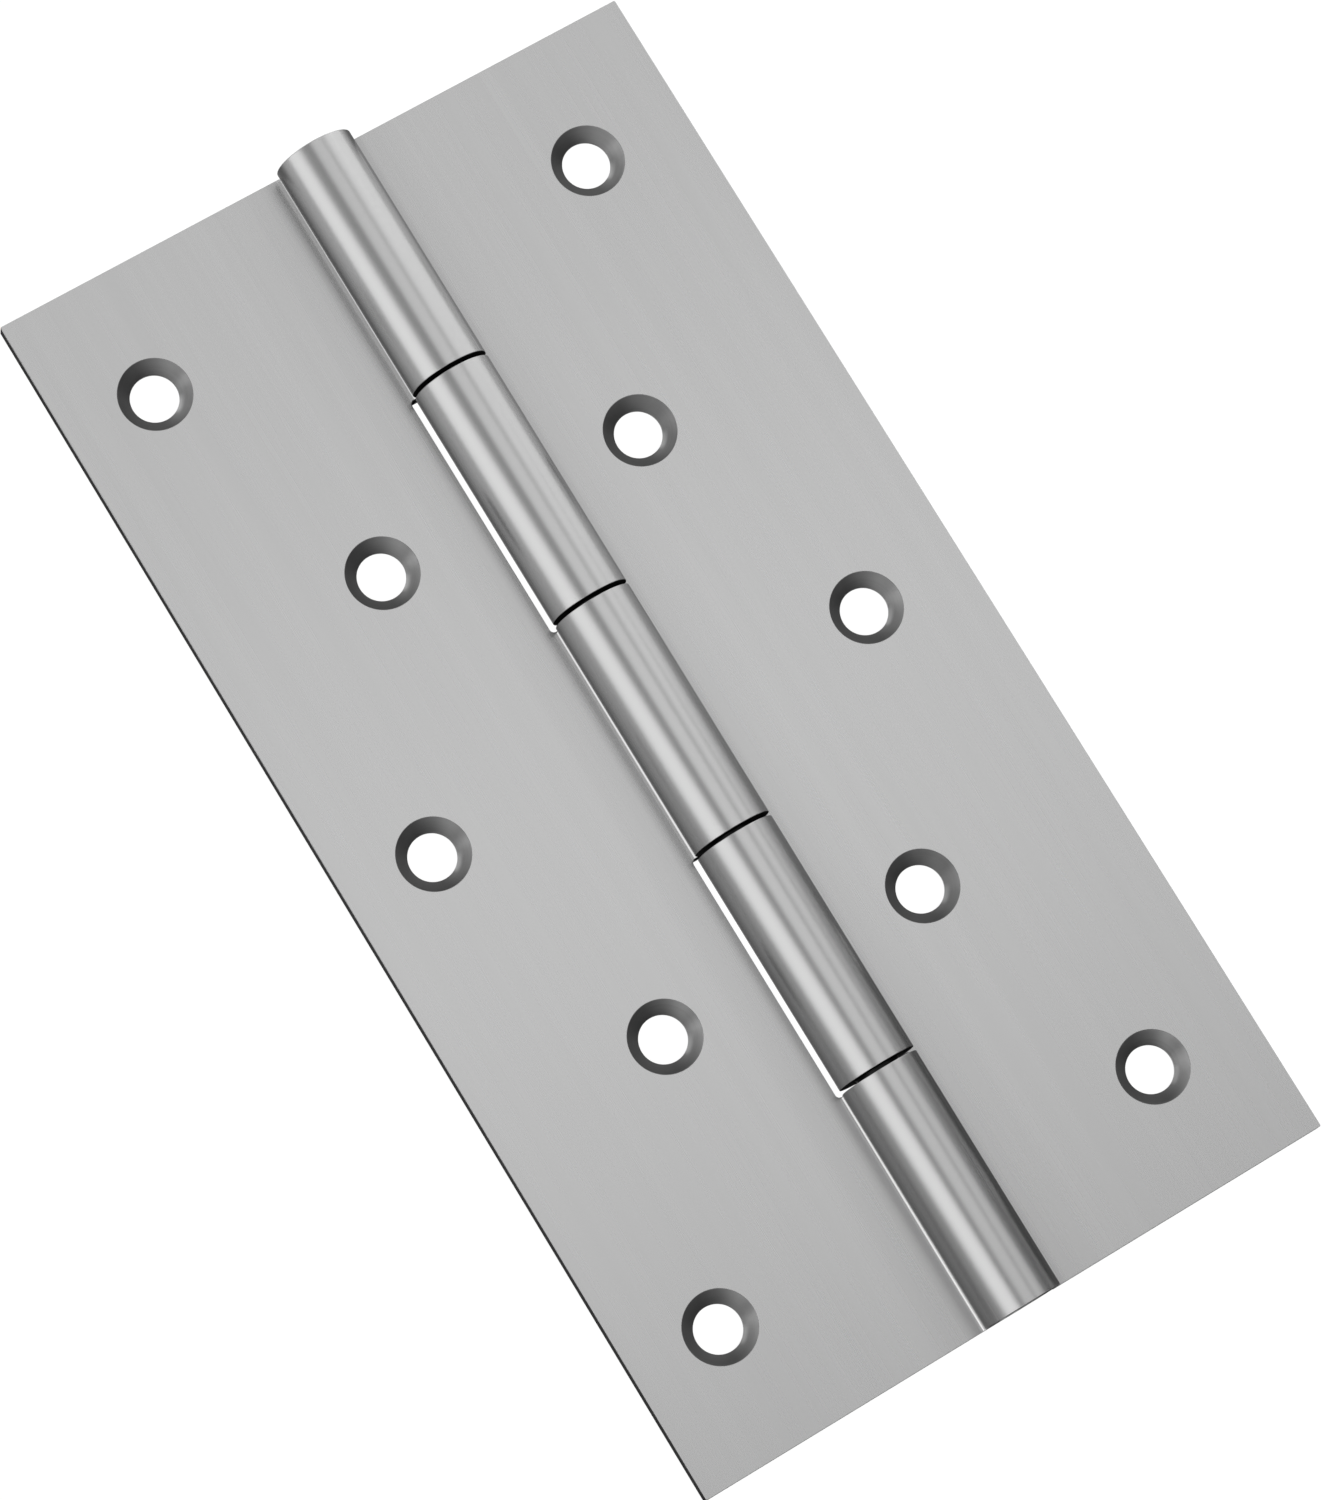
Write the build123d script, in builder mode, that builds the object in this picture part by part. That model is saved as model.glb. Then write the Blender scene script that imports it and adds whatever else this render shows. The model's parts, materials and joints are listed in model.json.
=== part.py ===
from build123d import *
from math import acos, degrees
import os

os.makedirs("parts", exist_ok=True)

# A rolled-knuckle butt hinge, lying open and flat on its back. Sizes are in millimetres.
# +Y runs along the pin and +Z is the countersunk front. The origin is under the middle
# of the pin, on the plane that both leaves rest on.

# Driving dimensions: the leaves
hinge_length = 150.0
leaf_width = 40.0  # from the pin's axis to a leaf's free edge
sheet = 2.0
edge_break = 0.15  # rounding that the press leaves along a free edge

# Driving dimensions: the barrel and its pin
pin_diameter = 5.3
pin_clearance = 0.05  # radial, all round the pin
pin_flare = 0.5  # how far the spun pin ends spread into the end knuckles
knuckle_count = 5
knuckle_gap = 0.5  # from one knuckle's end to the next
notch_clearance = 0.15  # from a notch to the barrel's widest line, seen from above
notch_corner = 0.5
curl_seam = 0.15  # where a curl's end stops short of its own leaf's front

# Driving dimensions: the countersunk screw holes
hole_diameter = 5.5
countersink_diameter = 8.3
countersink_angle = 80.0
row_count = 5
end_to_hole = 15.0
column_spacing = 11.4  # from a leaf's outer column of holes to its inner column
frame_edge_to_hole = 11.0
door_edge_to_hole = 12.7

# Sizes that follow from them
half_length = hinge_length / 2
bore_radius = pin_diameter / 2 + pin_clearance
barrel_radius = bore_radius + sheet
knuckle_length = (hinge_length - (knuckle_count - 1) * knuckle_gap) / knuckle_count
knuckle_pitch = knuckle_length + knuckle_gap
notch_length = knuckle_length + 2 * knuckle_gap
notch_edge = barrel_radius + notch_clearance
notch_cut = 4 * barrel_radius  # well above and below the whole hinge
row_pitch = (hinge_length - 2 * end_to_hole) / (row_count - 1)
screw_hole = (hole_diameter / 2, countersink_diameter / 2, 2 * sheet, countersink_angle)
curl_end = degrees(acos(1 - (sheet + curl_seam) / barrel_radius))

# The frame leaf lies towards -X and has the odd knuckles, counted from the +Y end.
# The door leaf lies towards +X and has the even ones.
FRAME_SIDE, DOOR_SIDE = -1, 1
frame_knuckles = range(0, knuckle_count, 2)
door_knuckles = range(1, knuckle_count, 2)


def inwards(shapes, side):
    """These shapes in groups of equal X, from a leaf's free edge inwards to the pin."""
    groups = shapes.group_by(Axis.X)
    return groups[::-1] if side > 0 else groups


def leaf_section(side):
    """Cross-section of a leaf: flat sheet that rolls up round the pin from below.

    The sheet's back is level with the barrel's underside. The curl's square-cut end
    comes down towards its own leaf again and stops just above it, which is curl_end
    degrees short of a full turn.
    """
    turn = side * (curl_end - 360)
    with BuildSketch(Plane.XZ) as section:
        with BuildLine():
            outside = CenterArc((0, barrel_radius), barrel_radius, -90, turn)
            inside = CenterArc((0, barrel_radius), bore_radius, -90, turn)
            Line(outside @ 1, inside @ 1)
            back_edge = (side * leaf_width, 0)
            front_edge = (side * leaf_width, sheet)
            Polyline(outside @ 0, back_edge, front_edge, inside @ 0)
        make_face()
        fillet(inwards(section.vertices(), side)[0], edge_break)
    return section.sketch


def notch_plan(side, other_knuckles):
    """Plan of a leaf's notches, from its sheet to clear of the barrel's far side."""
    far_side = barrel_radius + notch_clearance
    with BuildSketch() as notches:
        for index in other_knuckles:
            knuckle_y = ((knuckle_count - 1) / 2 - index) * knuckle_pitch
            with Locations((side * (notch_edge - far_side) / 2, knuckle_y)):
                Rectangle(notch_edge + far_side, notch_length)
    return notches.sketch


def sheet_corners(leaf, side):
    """The notches' upright corners that lie within the sheet, not at the leaf's ends."""
    upright = leaf.edges().filter_by(Axis.Z)
    corners = inwards(upright, side)[1]
    return corners.filter_by_position(Axis.Y, -half_length, half_length, (False, False))


def screw_places(side, edge_to_hole):
    """Staggered hole centres: even rows in the outer column, odd rows in the inner."""
    outer = side * (leaf_width - edge_to_hole)
    columns = (outer, outer - side * column_spacing)
    top_row = half_length - end_to_hole
    return [(columns[row % 2], top_row - row * row_pitch, sheet) for row in range(row_count)]


# Frame leaf: sheet with the outer and middle knuckles rolled from it. The barrel's two
# mouths are opened out to take the spun ends of the pin.
with BuildPart() as frame_leaf:
    extrude(leaf_section(FRAME_SIDE), amount=half_length, both=True)
    notches = notch_plan(FRAME_SIDE, door_knuckles)
    extrude(notches, amount=notch_cut, both=True, mode=Mode.SUBTRACT)
    fillet(sheet_corners(frame_leaf, FRAME_SIDE), notch_corner)
    with Locations(*screw_places(FRAME_SIDE, frame_edge_to_hole)):
        CounterSinkHole(*screw_hole)
    for end in (-1, 1):
        mouth = Plane((0, end * half_length, barrel_radius), z_dir=(0, end, 0))
        with Locations(mouth):
            Cone(
                bore_radius,
                bore_radius + pin_flare,
                pin_flare,
                align=(Align.CENTER, Align.CENTER, Align.MAX),
                mode=Mode.SUBTRACT,
            )
frame_leaf.part.label = "frame_leaf"
export_step(frame_leaf.part, "parts/frame_leaf.step")

# Door leaf: sheet with the knuckles between those of the frame leaf, free on the pin.
with BuildPart() as door_leaf:
    extrude(leaf_section(DOOR_SIDE), amount=half_length, both=True)
    notches = notch_plan(DOOR_SIDE, frame_knuckles)
    extrude(notches, amount=notch_cut, both=True, mode=Mode.SUBTRACT)
    fillet(sheet_corners(door_leaf, DOOR_SIDE), notch_corner)
    with Locations(*screw_places(DOOR_SIDE, door_edge_to_hole)):
        CounterSinkHole(*screw_hole)
door_leaf.part.label = "door_leaf"
export_step(door_leaf.part, "parts/door_leaf.step")

# Hinge pin: one rod through every knuckle, with both ends spun out flush.
with BuildPart() as hinge_pin:
    with BuildSketch(Plane.XY.offset(barrel_radius)):
        with BuildLine():
            pin_radius = pin_diameter / 2
            Polyline(
                (0, -half_length),
                (pin_radius + pin_flare, -half_length),
                (pin_radius, pin_flare - half_length),
                (pin_radius, half_length - pin_flare),
                (pin_radius + pin_flare, half_length),
                (0, half_length),
                close=True,
            )
        make_face()
    revolve(axis=Axis((0, 0, barrel_radius), (0, 1, 0)))
hinge_pin.part.label = "hinge_pin"
export_step(hinge_pin.part, "parts/hinge_pin.step")
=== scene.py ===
# %% [markdown]
# # A door hinge, as it is stamped, countersunk and rolled
# A butt hinge is two leaves of 2 mm steel sheet and one pin. Each leaf starts as a flat blank with
# tongues along one side. The tongues are rolled round the pin and become the knuckles of the barrel.
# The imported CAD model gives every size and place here, so nothing has to be fitted afterwards.

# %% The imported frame
from math import acos, cos, pi, radians, sin, sqrt, tan

import bmesh
import bpy
from mathutils import Matrix, Vector
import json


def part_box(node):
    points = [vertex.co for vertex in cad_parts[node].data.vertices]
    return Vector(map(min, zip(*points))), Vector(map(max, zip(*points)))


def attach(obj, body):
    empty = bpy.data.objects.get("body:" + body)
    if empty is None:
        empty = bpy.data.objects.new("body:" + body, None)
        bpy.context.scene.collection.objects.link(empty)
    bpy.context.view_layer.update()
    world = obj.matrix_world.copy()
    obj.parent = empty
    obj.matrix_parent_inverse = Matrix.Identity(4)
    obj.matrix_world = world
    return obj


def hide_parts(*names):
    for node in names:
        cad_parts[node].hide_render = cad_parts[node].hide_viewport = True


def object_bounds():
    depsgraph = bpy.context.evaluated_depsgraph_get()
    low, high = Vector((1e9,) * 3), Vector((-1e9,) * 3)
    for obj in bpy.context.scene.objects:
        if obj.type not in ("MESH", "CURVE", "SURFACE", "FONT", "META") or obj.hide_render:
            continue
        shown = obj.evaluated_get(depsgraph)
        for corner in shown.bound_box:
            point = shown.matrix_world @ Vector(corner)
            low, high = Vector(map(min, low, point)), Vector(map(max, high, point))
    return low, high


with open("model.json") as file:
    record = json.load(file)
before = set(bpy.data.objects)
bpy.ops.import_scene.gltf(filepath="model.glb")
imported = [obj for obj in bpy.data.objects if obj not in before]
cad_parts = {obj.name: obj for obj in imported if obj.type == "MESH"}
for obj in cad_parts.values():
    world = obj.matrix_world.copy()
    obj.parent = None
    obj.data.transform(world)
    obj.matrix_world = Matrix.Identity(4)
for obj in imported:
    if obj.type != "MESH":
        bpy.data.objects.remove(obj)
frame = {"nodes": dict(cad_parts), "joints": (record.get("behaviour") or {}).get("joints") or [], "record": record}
cad_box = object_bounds()
MM = 0.001

def in_mm(box):
    """A box's two corners in millimetres, for printing."""
    return [[round(c / MM, 3) for c in corner] for corner in box]

print("CAD box in mm:", in_mm(cad_box))

# %% [markdown]
# ## The camera
# It is set first, because it shows at once whether a piece sits where it should. It looks down on the
# open hinge from a little to the left and below. A long lens keeps the two long edges nearly parallel.
# The camera is rolled, so the pin runs from upper left to lower right.

# %% A camera at an azimuth and an elevation
def look_from(name, aim, azimuth, elevation, roll, distance, lens):
    """A camera whose line of sight passes through aim. Angles are in degrees and the lens in mm."""
    turn, lift = radians(azimuth), radians(elevation)
    back = Vector((sin(turn) * cos(lift), -cos(turn) * cos(lift), sin(lift)))
    data = bpy.data.cameras.new(name)
    data.sensor_width = 36
    data.lens = lens
    data.clip_start, data.clip_end = 0.05, 50
    camera = bpy.data.objects.new(name, data)
    bpy.context.scene.collection.objects.link(camera)
    level = (-back).to_track_quat("-Z", "Y").to_matrix().to_4x4()
    place = Matrix.Translation(aim + back * distance)
    camera.matrix_world = place @ level @ Matrix.Rotation(radians(roll), 4, "Z")
    return camera

camera = look_from("camera", aim=Vector((-1.2925, -2.4307, 2.0)) * MM, azimuth=-58.412,
                   elevation=74.6815, roll=27.752, distance=588.341 * MM, lens=128.354)
bpy.context.scene.camera = camera
print("the camera stands", round(camera.location.length, 3), "m away")

# %% [markdown]
# ## Sizes, read from the CAD
# The leaves are made anew here, because the CAD's barrel is faceted and its edges are knife sharp. Every
# size is measured on the CAD nodes, so a change in the CAD carries over. The nodes are only read.

# %% Levels and places on a CAD node
SAME = 0.01 * MM  # two lengths that are closer than this count as one

def node_points(node):
    """Every corner of a CAD node's mesh, in the frame."""
    return [vertex.co.copy() for vertex in frame["nodes"][node].data.vertices]

def levels(values):
    """The different values, in order."""
    found = []
    for value in sorted(values):
        if not found or value - found[-1] > SAME:
            found.append(value)
    return found

axis_height = frame["joints"][0]["pos_m"][2]
barrel_radius = axis_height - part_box("frame_leaf")[0].z
half_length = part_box("frame_leaf")[1].y

def from_axis(point):
    """How far a point is from the pin's axis."""
    return Vector((point.x, point.z - axis_height)).length

print("pin axis at z =", round(axis_height / MM, 3), "mm, half length", round(half_length / MM, 3), "mm")

# %% The screw holes of a leaf
def measure_holes(points, side):
    """Centres and radii, from the mounts in the record and from the CAD's own corners."""
    centres = set()
    for mount in frame["record"]["mounts"]:
        x, y = mount["pos_m"][:2]
        if mount["kind"] == "bolt_pattern" and x * side > 0:
            half_gap = mount["dims"]["spacing_y_mm"] * MM / 2
            centres |= {(x, round(y - half_gap, 6)), (x, round(y + half_gap, 6))}
            radius = mount["dims"]["hole_r_mm"] * MM
    centres = sorted(centres)
    first = Vector(centres[0])
    round_it = [p for p in points if (p.xy - first).length < 3 * radius]
    return {"holes": centres, "hole": radius,
            "countersink": max((p.xy - first).length for p in round_it),
            "land": min(p.z for p in round_it if p.z > SAME)}

# %% What a leaf measures
def measure_leaf(node, side):
    """The sizes of one leaf; side is -1 for the leaf towards -X and 1 for the other."""
    points = node_points(node)
    width = max(abs(p.x) for p in points)
    near_edge, near_top = 0.9 * width, 1.95 * barrel_radius
    sheet = max(p.z for p in points if abs(p.x) > near_edge)
    ends = levels(p.y for p in points if p.z > near_top)
    # The notches' rounded corners, on the back and clear of the barrel's lowest line.
    clear = 0.1 * MM
    notch = [abs(p.x) for p in points if p.z < SAME and clear < abs(p.x) < 2 * barrel_radius]
    # The curl ends at the lowest point of its outside that is above its own sheet.
    own_outside = [p.z for p in points
                   if p.x * side > 0 and abs(from_axis(p) - barrel_radius) < SAME / 2]
    curl_end = min(z for z in own_outside if sheet + clear / 2 < z < barrel_radius)
    leaf = {"side": side, "width": width, "sheet": sheet, "notch": max(notch)}
    leaf["corner"] = max(notch) - min(notch)
    leaf["knuckles"] = list(zip(ends[::2], ends[1::2]))
    leaf["curl"] = 2 * pi - acos(1 - curl_end / barrel_radius)
    return leaf | measure_holes(points, side)

leaves = {"frame_leaf": measure_leaf("frame_leaf", -1), "door_leaf": measure_leaf("door_leaf", 1)}
for name, leaf in leaves.items():
    shown = ("width", "sheet", "notch", "corner", "hole", "countersink", "land")
    print(name, {key: round(leaf[key] / MM, 3) for key in shown}, "knuckles", in_mm(leaf["knuckles"]))

# %% What the pin measures
pin_points = node_points("hinge_pin")
pin_radius = max(from_axis(p) for p in pin_points if 0 < p.y < half_length - 0.1 * MM)
pin_end_radius = max(from_axis(p) for p in pin_points if p.y > half_length - SAME)
flare = pin_end_radius - pin_radius
print("pin radius", round(pin_radius / MM, 3), "mm, spun out", round(flare / MM, 3), "mm at its ends")

# %% [markdown]
# ## A short way to build node trees
# Geometry Nodes and materials are both trees of nodes. These few lines add a node, set or link its inputs
# in order, and hand back what it makes. The trees below then read like sentences, and the same helper
# serves both kinds.

# %% The tree helper
class Tree:
    """A node tree that is built in order. A value is a number, a word or another node's output."""

    def __init__(self, tree):
        self.tree = tree

    def add(self, kind, *values, **settings):
        """A new node, with its settings made and its inputs set or linked in order."""
        node = self.tree.nodes.new(kind)
        for key, value in settings.items():
            setattr(node, key, value)
        for socket, value in zip([s for s in node.inputs if s.enabled], values):
            self.set(socket, value)
        return node

    def out(self, kind, *values, **settings):
        """The first output of a new node."""
        return self.add(kind, *values, **settings).outputs[0]

    def set(self, socket, value):
        if isinstance(value, bpy.types.NodeSocket):
            self.tree.links.new(value, socket)
        elif value is not None:
            socket.default_value = value

    def math(self, operation, *values, **settings):
        return self.out("ShaderNodeMath", *values, operation=operation, **settings)

    def plus(self, a, b):
        return self.math("ADD", a, b)

    def minus(self, a, b):
        return self.math("SUBTRACT", a, b)

    def times(self, a, b):
        return self.math("MULTIPLY", a, b)

    def over(self, a, b):
        return self.math("DIVIDE", a, b)

    def larger(self, a, b):
        return self.math("MAXIMUM", a, b)

    def below(self, a, limit):
        """1 where a is less than the limit, and 0 elsewhere."""
        return self.math("LESS_THAN", a, limit)

    def above(self, a, limit):
        """1 where a is more than the limit, and 0 elsewhere."""
        return self.math("GREATER_THAN", a, limit)

    def unsigned(self, a):
        return self.math("ABSOLUTE", a)

    def mix(self, share, a, b):
        """a where the share is 0, and b where it is 1."""
        return self.out("ShaderNodeMix", share, a, b)

    def vector(self, operation, *values):
        node = self.add("ShaderNodeVectorMath", *values, operation=operation)
        return node.outputs["Value" if operation in ("LENGTH", "DOT_PRODUCT") else "Vector"]

    def scaled(self, vector, factor):
        node = self.add("ShaderNodeVectorMath", vector, operation="SCALE")
        self.set(node.inputs["Scale"], factor)
        return node.outputs["Vector"]

    def xyz(self, x, y, z):
        return self.out("ShaderNodeCombineXYZ", x, y, z)

    def split(self, vector):
        return self.add("ShaderNodeSeparateXYZ", vector).outputs[:3]

# %% What only Geometry Nodes need
class MeshTree(Tree):
    """A tree whose values can be meshes, with marks on their edges and faces."""

    def position(self):
        return self.out("GeometryNodeInputPosition")

    def normal(self):
        return self.out("GeometryNodeInputNormal")

    def named(self, name, data_type="BOOLEAN"):
        return self.out("GeometryNodeInputNamedAttribute", name, data_type=data_type)

    def mark(self, mesh, name, chosen, domain):
        """The mesh with a yes or no under this name for each of its edges or faces."""
        return self.out("GeometryNodeStoreNamedAttribute", mesh, True, name, chosen,
                        data_type="BOOLEAN", domain=domain)

    def put(self, mesh, chosen, place=None, offset=None):
        """The mesh with its chosen points put at a place, or moved by an offset."""
        return self.out("GeometryNodeSetPosition", mesh, chosen, place, offset)

    def copies(self, points, mesh):
        """The mesh set on every point, as a real mesh."""
        return self.out("GeometryNodeRealizeInstances",
                        self.out("GeometryNodeInstanceOnPoints", points, True, mesh))

    def join(self, *meshes):
        """Several meshes as one, with corners that coincide welded."""
        node = self.add("GeometryNodeJoinGeometry")
        for mesh in meshes:
            self.set(node.inputs[0], mesh)
        return self.out("GeometryNodeMergeByDistance", node.outputs[0], True, 0.001 * MM)

    def repeat(self, count, first, one_turn):
        """Passes a mesh through one_turn(mesh, number of the turn) again and again."""
        start = self.add("GeometryNodeRepeatInput")
        end = self.add("GeometryNodeRepeatOutput")
        start.pair_with_output(end)
        self.set(start.inputs["Iterations"], count)
        self.set(start.inputs["Geometry"], first)
        result = one_turn(start.outputs["Geometry"], start.outputs["Iteration"])
        self.set(end.inputs["Geometry"], result)
        return end.outputs["Geometry"]

# %% Opening and closing a geometry tree
def new_geometry_tree(name, sizes):
    """A Geometry Nodes tree with one named input for each size: its helper, and its inputs."""
    group = bpy.data.node_groups.new(name, "GeometryNodeTree")
    face = group.interface
    face.new_socket("Geometry", in_out="INPUT", socket_type="NodeSocketGeometry")
    face.new_socket("Geometry", in_out="OUTPUT", socket_type="NodeSocketGeometry")
    for label, value in sizes.items():
        kind = "NodeSocketInt" if isinstance(value, int) else "NodeSocketFloat"
        face.new_socket(label, in_out="INPUT", socket_type=kind)
    return MeshTree(group), group.nodes.new("NodeGroupInput").outputs

def finish_geometry_tree(t, mesh, finishes):
    """Ends a tree with Realize Instances and one Set Material for each finish and its faces."""
    mesh = t.out("GeometryNodeRealizeInstances", mesh)
    for material, faces in finishes:
        mesh = t.out("GeometryNodeSetMaterial", mesh, faces, material)
    t.set(t.add("NodeGroupOutput").inputs[0], mesh)

# %% Running a tree and keeping its plain mesh
SHARP_ANGLE = 5  # degrees; the rolled and turned skins bend by less than this from face to face

def keep_used_materials(mesh):
    """Drops the empty material slot that joining leaves behind."""
    used = sorted({face.material_index for face in mesh.polygons})
    materials = [mesh.materials[i] for i in used]
    places = [used.index(face.material_index) for face in mesh.polygons]
    mesh.materials.clear()
    for material in materials:
        mesh.materials.append(material)
    mesh.polygons.foreach_set("material_index", places)

def evaluated(name, base_mesh, t, sizes):
    """An object with no modifier left on it, and the plain mesh that the tree makes for it."""
    holder = bpy.data.objects.new(name, base_mesh)
    bpy.context.scene.collection.objects.link(holder)
    modifier = holder.modifiers.new("making", "NODES")
    modifier.node_group = t.tree
    for socket in t.tree.interface.items_tree:
        if socket.in_out == "INPUT" and socket.name in sizes:
            modifier[socket.identifier] = sizes[socket.name]
    bpy.context.view_layer.update()
    made = holder.evaluated_get(bpy.context.evaluated_depsgraph_get())
    mesh = bpy.data.meshes.new_from_object(made)
    holder.modifiers.remove(modifier)
    return holder, mesh

def run_tree(name, base_mesh, t, sizes):
    """A finished piece: its faces point outwards, and only its real edges are sharp."""
    piece, mesh = evaluated(name, base_mesh, t, sizes)
    shape = bmesh.new()
    shape.from_mesh(mesh)
    bmesh.ops.recalc_face_normals(shape, faces=shape.faces)
    open_edges = sum(len(edge.link_faces) != 2 for edge in shape.edges)
    volume = shape.calc_volume()
    shape.to_mesh(mesh)
    shape.free()
    keep_used_materials(mesh)
    mesh.shade_smooth()
    mesh.set_sharp_from_angle(angle=radians(SHARP_ANGLE))
    piece.data = mesh
    mesh.name = name
    print(f"{name}: {len(mesh.polygons)} faces, {open_edges} open edges, {volume / MM ** 3:.1f} mm3")
    return piece

# %% [markdown]
# ## Plain first finishes
# Four finishes cover the hinge: sheet brushed along its length, the dull grey of a sheared edge, the
# turned surface of a countersink, and drawn rod. They are only named here, so that the trees can hand
# them out. Their looks are built further down, once there is a shape to look at.

# %% The finishes by name
def new_finish(name):
    material = bpy.data.materials.new(name)
    material.use_nodes = True
    material.node_tree.nodes.clear()
    return material

brushed = new_finish("satin_steel_brushed")
sheared = new_finish("satin_steel_sheared_edge")
turned = new_finish("satin_steel_countersink")
drawn = new_finish("pin_steel_drawn")
print("finishes:", [finish.name for finish in (brushed, sheared, turned, drawn)])

# %% [markdown]
# ## The blank of a leaf
# On the real hinge the press cuts the blank from a strip of sheet in one blow, and the tongues stop at the
# line where rolling starts. The blank's plan is a handful of corners, so it is written as a list of
# corners, each with its own rounding. Every point also carries the direction in which the edge's rounding
# moves it, which is what the tree needs to round the edges later.

# %% The corners of a blank
EDGE_BREAK = 0.07 * MM  # the small rounding that stamping and handling leave on every edge
OUTER_CORNER = 0.15 * MM  # the rounding of the leaf's own four corners, seen from above

def blank_corners(leaf):
    """Corners of the plan as (distance from the pin, y, rounding), up the barrel side first."""
    notch, corner, width = leaf["notch"], leaf["corner"], leaf["width"]
    lowest, highest = leaf["knuckles"][0][0], leaf["knuckles"][-1][1]
    corners = []
    # A few more corners near the pin keep the faces of the barrel's flared mouths small.
    fine = [step * flare for step in (0.8, 1.8, 3.0)]
    if lowest > -half_length + MM:
        corners.append((notch, -half_length, OUTER_CORNER))
    for low, high in leaf["knuckles"]:
        if low > -half_length + MM:
            corners += [(notch, low, corner), (0, low, 0)]
        else:
            corners += [(x, low, 0) for x in fine[::-1]] + [(0, low, 0), (0, low + flare, 0)]
        if high < half_length - MM:
            corners += [(0, high, 0), (notch, high, corner)]
        else:
            corners += [(0, high - flare, 0), (0, high, 0)] + [(x, high, 0) for x in fine]
    if highest < half_length - MM:
        corners.append((notch, half_length, OUTER_CORNER))
    corners += [(width, half_length, OUTER_CORNER), (width, -half_length, OUTER_CORNER)]
    corners = [(leaf["side"] * x, y, rounding) for x, y, rounding in corners]
    return corners if leaf["side"] < 0 else corners[::-1]

print("corners of the blanks:", {name: len(blank_corners(leaf)) for name, leaf in leaves.items()})

# %% The outline with its corners rounded
ARC_STEPS = 6  # how many steps make one rounded corner of the plan

def rounded(corners):
    """The corners with each rounding cut into short steps."""
    path = []
    for i, (x, y, rounding) in enumerate(corners):
        here = Vector((x, y))
        if rounding == 0:
            path.append(here)
            continue
        coming = (here - Vector(corners[i - 1][:2])).normalized() * rounding
        going = (Vector(corners[(i + 1) % len(corners)][:2]) - here).normalized() * rounding
        for step in range(ARC_STEPS + 1):
            a = pi / 2 * step / ARC_STEPS
            path.append(here - coming + going - going * cos(a) + coming * sin(a))
    return path

def inward_moves(path, at_curl):
    """For each point, the move that takes both its sides in by 1. The tongues' ends stay put."""
    moves = []
    for i in range(len(path)):
        inward = []
        for a, b in ((i - 1, i), (i, (i + 1) % len(path))):
            if not at_curl[a]:
                along = (path[b] - path[a]).normalized()
                inward.append(Vector((-along.y, along.x)))
        if len(inward) == 2:
            move = (inward[0] + inward[1]) / (1 + inward[0].dot(inward[1]))
        else:
            move = inward[0] if inward else Vector((0, 0))
        moves.append(move.to_3d())
    return moves

# %% The blank as a mesh that the tree can read
def blank_mesh(leaf):
    """The plan as a loop of edges, plus one loose point for each screw hole."""
    path = rounded(blank_corners(leaf))
    count = len(path)
    on_pin = [abs(p.x) < SAME / 100 for p in path]
    at_curl = [on_pin[i] and on_pin[(i + 1) % count] for i in range(count)]
    insets = inward_moves(path, at_curl) + [Vector()] * len(leaf["holes"])
    points = [p.to_3d() for p in path] + [Vector((x, y, 0)) for x, y in leaf["holes"]]
    mesh = bpy.data.meshes.new("blank")
    mesh.from_pydata(points, [(i, (i + 1) % count) for i in range(count)], [])
    plan = mesh.attributes.new("plan", "FLOAT_VECTOR", "POINT")
    inset = mesh.attributes.new("inset", "FLOAT_VECTOR", "POINT")
    hole = mesh.attributes.new("hole", "BOOLEAN", "POINT")
    growing = mesh.attributes.new("growing", "BOOLEAN", "EDGE")
    for i, point in enumerate(points):
        plan.data[i].vector = point
        inset.data[i].vector = insets[i]
        hole.data[i].value = i >= count
    for i in range(count):
        growing.data[i].value = not at_curl[i]
    return mesh

# %% [markdown]
# ## One leaf, by Geometry Nodes
# The tree works as the factory does. It raises the blank's edge from back to front with a small rounding
# at both faces. It fills the two faces round the screw holes and sets a countersink in each hole. Then it
# rolls the tongues: the cut end of each tongue is pushed round the pin in small turns and leaves a strip
# of barrel behind at every turn. A rule this simple is shorter as a tree than as a list of faces, and one
# tree serves both leaves.

# %% Raising the rounded edge
def raise_edge(t, mesh, sheet, edge_break, arc_steps):
    """Walls all round the blank, from the back face's outline to the front face's."""
    def one_level(mesh, turn):
        grown = t.add("GeometryNodeExtrudeMesh", mesh, t.named("growing"), None, 0.0, mode="EDGES")
        level = t.plus(turn, 1)
        low = t.times(t.over(t.math("MINIMUM", level, arc_steps), arc_steps), pi / 2)
        past = t.minus(level, arc_steps)
        high = t.times(t.over(t.larger(t.minus(past, 1), 0), arc_steps), pi / 2)
        on_wall = t.math("ADD", past, 0, use_clamp=True)
        depth = t.minus(t.minus(2, t.math("SINE", low)), t.math("COSINE", high))
        rise = t.plus(t.minus(1, t.math("COSINE", low)), t.math("SINE", high))
        straight = t.times(on_wall, t.minus(sheet, t.times(edge_break, 2)))
        height = t.plus(t.times(rise, edge_break), straight)
        place = t.vector("ADD", t.named("plan", "FLOAT_VECTOR"), t.xyz(0, 0, height))
        inset = t.scaled(t.named("inset", "FLOAT_VECTOR"), t.times(depth, edge_break))
        moved = t.put(grown.outputs["Mesh"], grown.outputs["Top"], t.vector("ADD", place, inset))
        return t.mark(moved, "growing", grown.outputs["Top"], "EDGE")
    return t.repeat(t.plus(t.times(arc_steps, 2), 1), mesh, one_level)

# %% Filling a face of the sheet
HOLE_SIDES = 96  # how many flat sides stand for a round hole and its cone

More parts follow.
